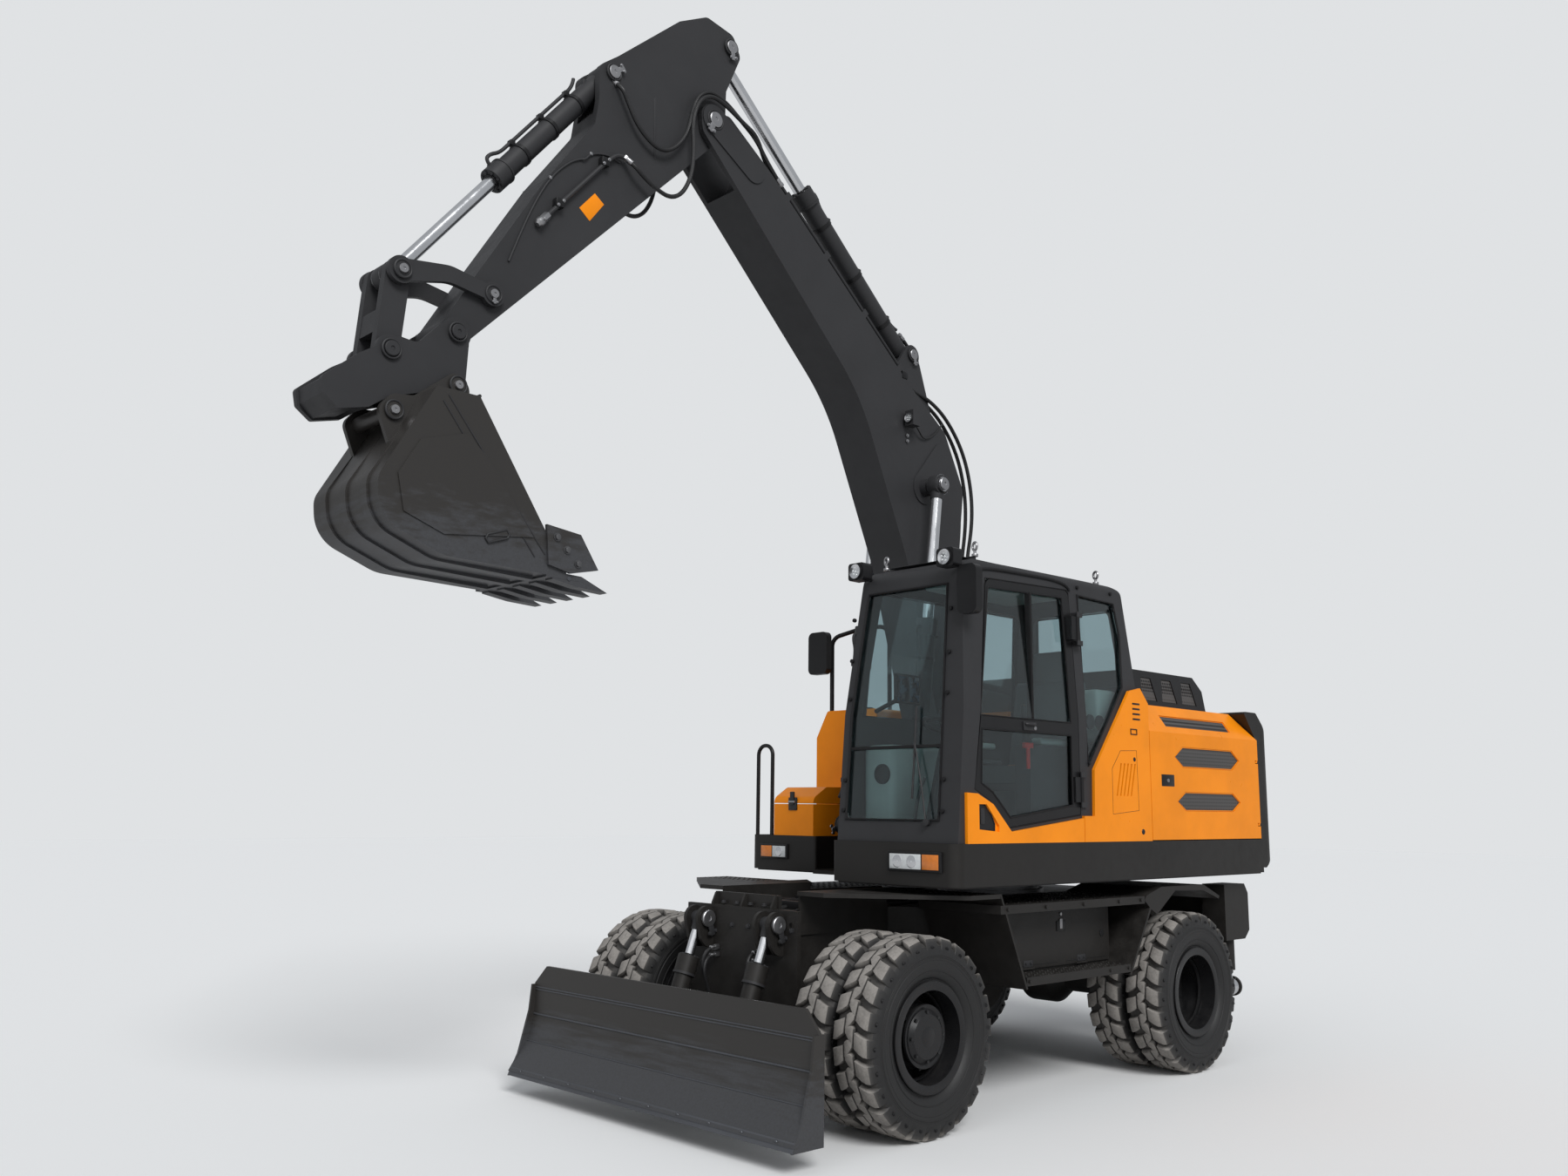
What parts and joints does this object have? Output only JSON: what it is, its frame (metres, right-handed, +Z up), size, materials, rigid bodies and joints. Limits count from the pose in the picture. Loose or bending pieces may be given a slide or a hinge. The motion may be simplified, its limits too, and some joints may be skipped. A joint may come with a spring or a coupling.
{
  "type": "wheeled excavator",
  "caption": "Wheeled excavator with a raised boom, arm and bucket on a swinging upper body with cab, twin road wheels, front blade and rear stabilisers",
  "frame": {"origin": "On the ground under the middle of the machine's overall box, as it is parked", "axes": "+X is the machine's left (cab side), +Y its rear (the counterweight), +Z up"},
  "size_m": [2.66, 7.1663, 6.7196],
  "materials": {
    "dark_paint": "semi-gloss charcoal paint",
    "orange_paint": "glossy orange paint",
    "black_paint": "satin black paint",
    "rim_paint": "dusty dark grey paint",
    "tyre": "dusty black rubber",
    "chrome": "polished chromed rod",
    "steel": "oiled machined steel",
    "cast_iron": "rough casting",
    "glass": "tinted safety glass",
    "seat": "woven dark cover",
    "plastic": "grained dark plastic"
  },
  "bodies": {
    "chassis": {"chassis_frame": "dark_paint", "front_bracket": "dark_paint", "slewing_ring": "steel", "front_axle": "dark_paint", "rear_axle": "dark_paint", "gearbox": "dark_paint", "decks": "dark_paint", "step_boxes": "dark_paint"},
    "turret": {"upper_frame": "dark_paint", "skirt": "dark_paint", "counterweight": "dark_paint", "engine": "cast_iron", "rear_body": "orange_paint", "side_panel": "orange_paint", "fuel_tank": "orange_paint", "toolbox": "orange_paint", "cab_shell": "dark_paint", "cab_glass": "glass", "operator_seat": "seat", "cab_controls": "plastic", "rails_mirrors": "black_paint", "work_lamps": "black_paint"},
    "cab_door": {"cab_door": "dark_paint", "door_glass": "glass"},
    "side_door_left": {"side_door_left": "orange_paint"},
    "side_door_right": {"side_door_right": "orange_paint"},
    "engine_hood": {"engine_hood": "black_paint"},
    "toolbox_lid": {"toolbox_lid": "orange_paint"},
    "box_door": {"box_door": "dark_paint"},
    "boom": {"boom": "dark_paint"},
    "boom_barrels": {"boom_barrels": "dark_paint"},
    "boom_rods": {"boom_rods": "chrome"},
    "arm_barrel": {"arm_barrel": "dark_paint"},
    "arm_rod": {"arm_rod": "chrome"},
    "arm": {"arm": "dark_paint"},
    "bucket_barrel": {"bucket_barrel": "dark_paint"},
    "bucket_rod": {"bucket_rod": "chrome"},
    "rocker": {"rocker_links": "dark_paint"},
    "h_link": {"h_link": "dark_paint"},
    "bucket": {"quick_coupler": "dark_paint", "bucket": "dark_paint"},
    "blade": {"blade": "dark_paint"},
    "blade_barrels": {"blade_barrels": "dark_paint"},
    "blade_rods": {"blade_rods": "chrome"},
    "knuckle_left": {"knuckle_left": "dark_paint"},
    "knuckle_right": {"knuckle_right": "dark_paint"},
    "wheel_front_left": {"tyres_front_left": "tyre", "rims_front_left": "rim_paint"},
    "wheel_front_right": {"tyres_front_right": "tyre", "rims_front_right": "rim_paint"},
    "wheel_rear_left": {"tyres_rear_left": "tyre", "rims_rear_left": "rim_paint"},
    "wheel_rear_right": {"tyres_rear_right": "tyre", "rims_rear_right": "rim_paint"},
    "stabiliser_beam_left": {"stabiliser_beam_left": "dark_paint"},
    "stabiliser_barrel_left": {"stabiliser_barrel_left": "dark_paint"},
    "stabiliser_rod_left": {"stabiliser_rod_left": "chrome"},
    "stabiliser_beam_right": {"stabiliser_beam_right": "dark_paint"},
    "stabiliser_barrel_right": {"stabiliser_barrel_right": "dark_paint"},
    "stabiliser_rod_right": {"stabiliser_rod_right": "chrome"}
  },
  "joints": [
    {"name": "swing", "type": "hinge", "parent": "chassis", "child": "turret", "pos_m": [0, 1.3, 1.29], "axis": [0, 0, 1], "continuous": true},
    {"name": "boom", "type": "hinge", "parent": "turret", "child": "boom", "pos_m": [-0.1, 1.26, 1.88], "axis": [-1, 0, 0], "range_deg": [-60, 20]},
    {"name": "arm", "type": "hinge", "parent": "boom", "child": "arm", "pos_m": [-0.1, -1.167, 6.011], "axis": [1, 0, 0], "range_deg": [-65, 35]},
    {"name": "bucket", "type": "hinge", "parent": "arm", "child": "bucket", "pos_m": [-0.1, -2.885, 4.142], "axis": [1, 0, 0], "range_deg": [-75, 50]},
    {"name": "boom_barrels", "type": "hinge", "parent": "turret", "child": "boom_barrels", "pos_m": [-0.1, 0.55, 1.62], "axis": [-1, 0, 0], "range_deg": [-58.95, 20.32]},
    {"name": "boom_rods", "type": "slide", "parent": "boom_barrels", "child": "boom_rods", "axis": [0, 0.1248, 0.9922], "range_m": [-0.6715, 0.2252]},
    {"name": "arm_barrel", "type": "hinge", "parent": "boom", "child": "arm_barrel", "pos_m": [-0.1, 0.797, 4.975], "axis": [1, 0, 0], "range_deg": [-3.41, 2.3]},
    {"name": "arm_rod", "type": "slide", "parent": "arm_barrel", "child": "arm_rod", "axis": [0, -0.7461, 0.6658], "range_m": [-0.5117, 0.2765]},
    {"name": "bucket_barrel", "type": "hinge", "parent": "arm", "child": "bucket_barrel", "pos_m": [-0.1, -1.93, 6.03], "axis": [1, 0, 0], "range_deg": [-7.05, 5.04]},
    {"name": "bucket_rod", "type": "slide", "parent": "bucket_barrel", "child": "bucket_rod", "axis": [0, -0.6157, -0.788], "range_m": [-0.3955, 0.2643]},
    {"name": "rocker", "type": "hinge", "parent": "arm", "child": "rocker", "pos_m": [-0.1, -2.68, 4.413], "axis": [1, 0, 0], "range_deg": [-51.33, 34.55]},
    {"name": "h_link", "type": "hinge", "parent": "bucket", "child": "h_link", "pos_m": [-0.1, -3.244, 3.96], "axis": [1, 0, 0], "range_deg": [-33.15, 49.23]},
    {"name": "blade", "type": "hinge", "parent": "chassis", "child": "blade", "pos_m": [0, -0.87, 0.48], "axis": [-1, 0, 0], "range_deg": [-16, 20]},
    {"name": "blade_barrels", "type": "hinge", "parent": "blade", "child": "blade_barrels", "pos_m": [0, -1.1, 0.35], "axis": [-1, 0, 0], "range_deg": [-15.88, 12.9]},
    {"name": "blade_rods", "type": "slide", "parent": "blade_barrels", "child": "blade_rods", "axis": [0, 0.3396, 0.9406], "range_m": [-0.0634, 0.0511]},
    {"name": "steering", "type": "hinge", "parent": "chassis", "child": "knuckle_left", "pos_m": [0.7, -0.5, 0.5275], "axis": [0, 0, 1], "range_deg": [-25, 25]},
    {"name": "steering_right", "type": "hinge", "parent": "chassis", "child": "knuckle_right", "pos_m": [-0.7, -0.5, 0.5275], "axis": [0, 0, 1], "range_deg": [-25, 25]},
    {"name": "wheel_front_left", "type": "hinge", "parent": "knuckle_left", "child": "wheel_front_left", "pos_m": [0.9545, -0.5, 0.5275], "axis": [1, 0, 0], "continuous": true},
    {"name": "wheel_front_right", "type": "hinge", "parent": "knuckle_right", "child": "wheel_front_right", "pos_m": [-0.9545, -0.5, 0.5275], "axis": [1, 0, 0], "continuous": true},
    {"name": "wheel_rear_left", "type": "hinge", "parent": "chassis", "child": "wheel_rear_left", "pos_m": [0.9545, 2.3, 0.5275], "axis": [1, 0, 0], "continuous": true},
    {"name": "wheel_rear_right", "type": "hinge", "parent": "chassis", "child": "wheel_rear_right", "pos_m": [-0.9545, 2.3, 0.5275], "axis": [1, 0, 0], "continuous": true},
    {"name": "cab_door", "type": "hinge", "parent": "turret", "child": "cab_door", "pos_m": [1.2407, 0.958, 2.3], "axis": [0, 0, 1], "range_deg": [0, 100]},
    {"name": "side_door_left", "type": "hinge", "parent": "turret", "child": "side_door_left", "pos_m": [1.237, 3.275, 1.9], "axis": [0, 0, 1], "range_deg": [0, 90]},
    {"name": "side_door_right", "type": "hinge", "parent": "turret", "child": "side_door_right", "pos_m": [-1.237, 3.275, 1.9], "axis": [0, 0, -1], "range_deg": [0, 90]},
    {"name": "engine_hood", "type": "hinge", "parent": "turret", "child": "engine_hood", "pos_m": [0.2, 2.116, 2.466], "axis": [1, 0, 0], "range_deg": [0, 60]},
    {"name": "toolbox_lid", "type": "hinge", "parent": "turret", "child": "toolbox_lid", "pos_m": [-0.818, 1.0827, 1.884], "axis": [-1, 0, 0], "range_deg": [0, 80]},
    {"name": "box_door", "type": "hinge", "parent": "chassis", "child": "box_door", "pos_m": [1.024, 0.983, 0.78], "axis": [0, 1, 0], "range_deg": [0, 90]},
    {"name": "stabiliser_left", "type": "hinge", "parent": "chassis", "child": "stabiliser_beam_left", "pos_m": [0.25, 3.1, 0.56], "axis": [0, 1, 0], "range_deg": [0, 30]},
    {"name": "stabiliser_barrel_left", "type": "hinge", "parent": "chassis", "child": "stabiliser_barrel_left", "pos_m": [1.03, 3.1, 1.15], "axis": [0, 1, 0], "range_deg": [-1, 8.4]},
    {"name": "stabiliser_rod_left", "type": "slide", "parent": "stabiliser_barrel_left", "child": "stabiliser_rod_left", "axis": [0, 0, -1], "range_m": [-0.002, 0.3966]},
    {"name": "stabiliser_right", "type": "hinge", "parent": "chassis", "child": "stabiliser_beam_right", "pos_m": [-0.25, 3.1, 0.56], "axis": [0, -1, 0], "range_deg": [0, 30]},
    {"name": "stabiliser_barrel_right", "type": "hinge", "parent": "chassis", "child": "stabiliser_barrel_right", "pos_m": [-1.03, 3.1, 1.15], "axis": [0, -1, 0], "range_deg": [-1, 8.4]},
    {"name": "stabiliser_rod_right", "type": "slide", "parent": "stabiliser_barrel_right", "child": "stabiliser_rod_right", "axis": [0, 0, -1], "range_m": [-0.002, 0.3966]}
  ],
  "couplings": [
    {"joint": "boom_barrels", "follows": "boom", "ratio": 0.96588},
    {"joint": "boom_rods", "follows": "boom", "m_per_rad": 0.6393},
    {"joint": "arm_barrel", "follows": "arm", "ratio": 0.03706},
    {"joint": "arm_rod", "follows": "arm", "m_per_rad": 0.44928},
    {"joint": "bucket_barrel", "follows": "bucket", "ratio": 0.0807},
    {"joint": "bucket_rod", "follows": "bucket", "m_per_rad": 0.30058},
    {"joint": "rocker", "follows": "bucket", "ratio": 0.671},
    {"joint": "h_link", "follows": "bucket", "ratio": -0.643},
    {"joint": "blade_barrels", "follows": "blade", "ratio": -0.7439},
    {"joint": "blade_rods", "follows": "blade", "m_per_rad": -0.17596},
    {"joint": "steering_right", "follows": "steering", "ratio": 1},
    {"joint": "stabiliser_barrel_left", "follows": "stabiliser_left", "ratio": 0.24662},
    {"joint": "stabiliser_rod_left", "follows": "stabiliser_left", "m_per_rad": 0.75356},
    {"joint": "stabiliser_barrel_right", "follows": "stabiliser_right", "ratio": 0.24662},
    {"joint": "stabiliser_rod_right", "follows": "stabiliser_right", "m_per_rad": 0.75356}
  ]
}
